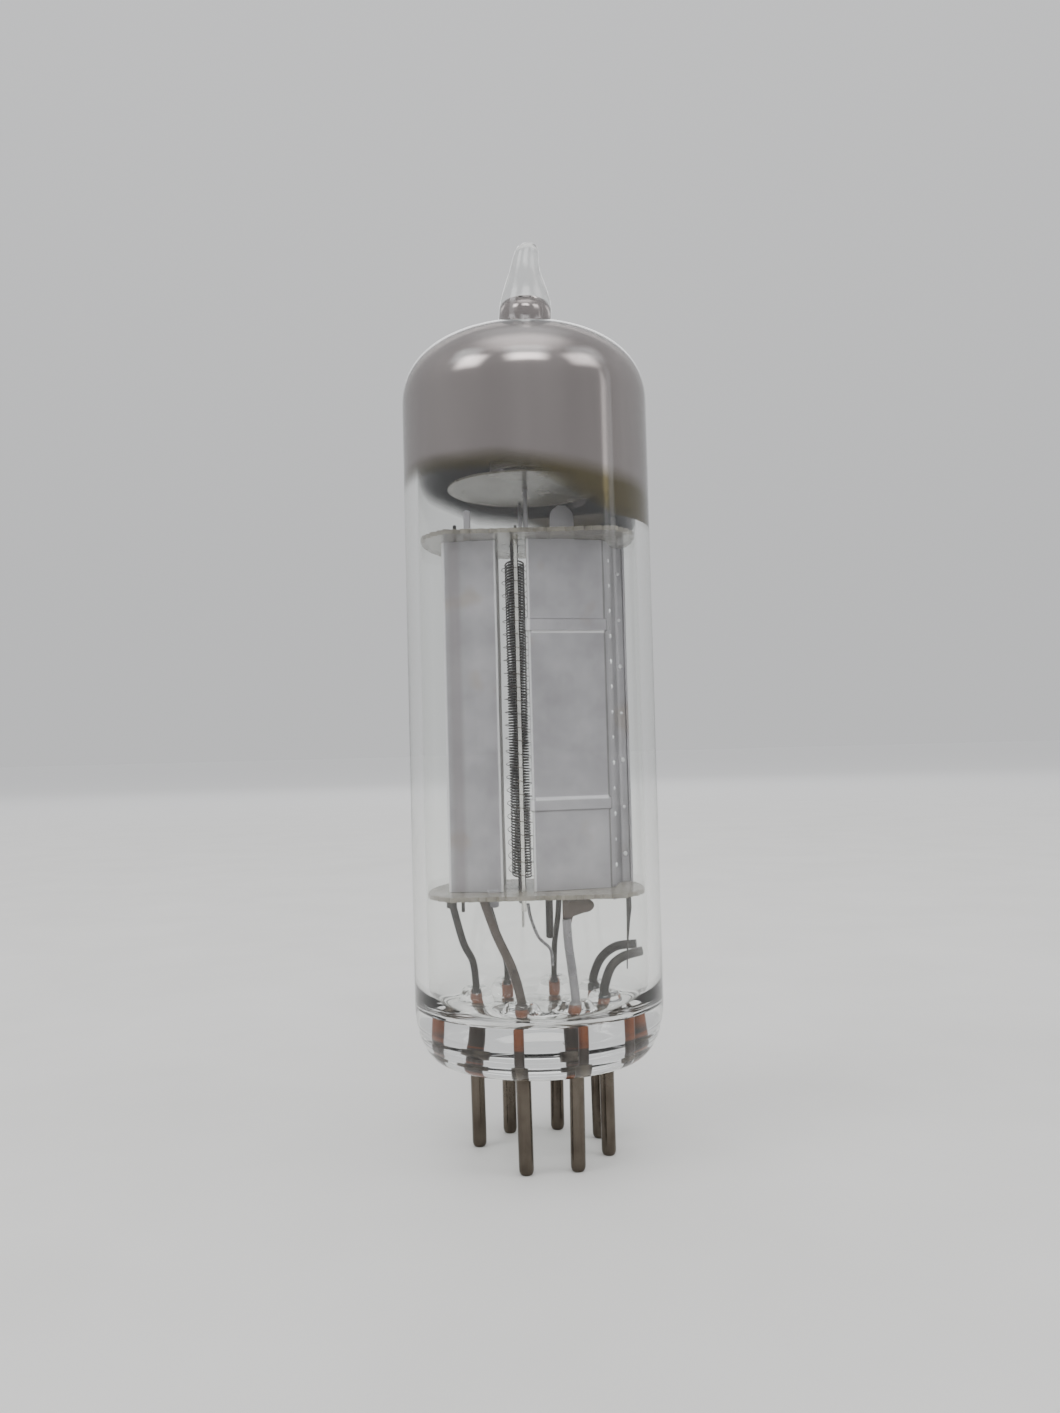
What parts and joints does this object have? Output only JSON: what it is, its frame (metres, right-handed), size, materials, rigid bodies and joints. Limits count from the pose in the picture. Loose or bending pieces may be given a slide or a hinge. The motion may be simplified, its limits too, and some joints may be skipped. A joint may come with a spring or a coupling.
{
  "type": "vacuum tube",
  "caption": "Miniature all-glass vacuum tube: long clear bulb with a mirrored dome, drawn exhaust tip, electrode cage between two micas, and straight pins in the glass base.",
  "frame": {"origin": "centre of the flat seating pad under the glass base, on the tube's axis", "axes": "+Z along the tube from the pins to the exhaust tip; -Y is the side with the narrow anode slot, +X the wide anode half"},
  "size_m": [0.0176, 0.0176, 0.0655],
  "materials": {
    "envelope_glass": "clear blown glass",
    "getter_mirror": "grey-brown evaporated metal film",
    "mica": "translucent brownish mica sheet",
    "cage_nickel": "satin nickel sheet, lightly mottled",
    "bright_wire": "bright drawn wire",
    "pin_nickel": "tarnished nickel",
    "dark_wire": "dark oxidised wire",
    "seal_copper": "copper-red wire seen through glass",
    "oxide_white": "matt white oxide"
  },
  "bodies": {
    "root": {"glass_bulb": "envelope_glass", "glass_button": "envelope_glass", "exhaust_tip": "envelope_glass", "getter_film": "getter_mirror", "pin_1": "pin_nickel", "seal_wire_1": "seal_copper", "pin_2": "pin_nickel", "seal_wire_2": "seal_copper", "pin_3": "pin_nickel", "seal_wire_3": "seal_copper", "pin_4": "pin_nickel", "seal_wire_4": "seal_copper", "pin_5": "pin_nickel", "seal_wire_5": "seal_copper", "pin_6": "pin_nickel", "seal_wire_6": "seal_copper", "pin_7": "pin_nickel", "seal_wire_7": "seal_copper", "lead_1": "pin_nickel", "lead_2": "cage_nickel", "lead_3": "dark_wire", "lead_4": "dark_wire", "lead_5": "dark_wire", "lead_6": "dark_wire", "lead_7": "dark_wire", "lead_7_sleeve": "dark_wire", "lead_2_tab": "cage_nickel", "side_ribbon": "dark_wire", "anode_wide_front": "cage_nickel", "anode_wide_back": "cage_nickel", "anode_narrow_front": "cage_nickel", "anode_narrow_back": "cage_nickel", "control_grid_rod_front": "bright_wire", "control_grid_rod_back": "bright_wire", "control_grid_winding": "bright_wire", "screen_grid_rod_front": "bright_wire", "screen_grid_rod_back": "bright_wire", "screen_grid_winding": "bright_wire", "suppressor_grid_rod_front": "bright_wire", "suppressor_grid_rod_back": "bright_wire", "suppressor_grid_winding": "bright_wire", "cathode_sleeve": "cage_nickel", "cathode_coating": "oxide_white", "heater": "oxide_white", "frame_rod_right": "cage_nickel", "frame_rod_left": "cage_nickel", "getter_post": "cage_nickel", "getter_ring": "cage_nickel", "shield_mica": "mica", "cathode_tab": "bright_wire", "cathode_strap": "cage_nickel", "mica_lower": "mica", "mica_upper": "mica"}
  },
  "joints": []
}
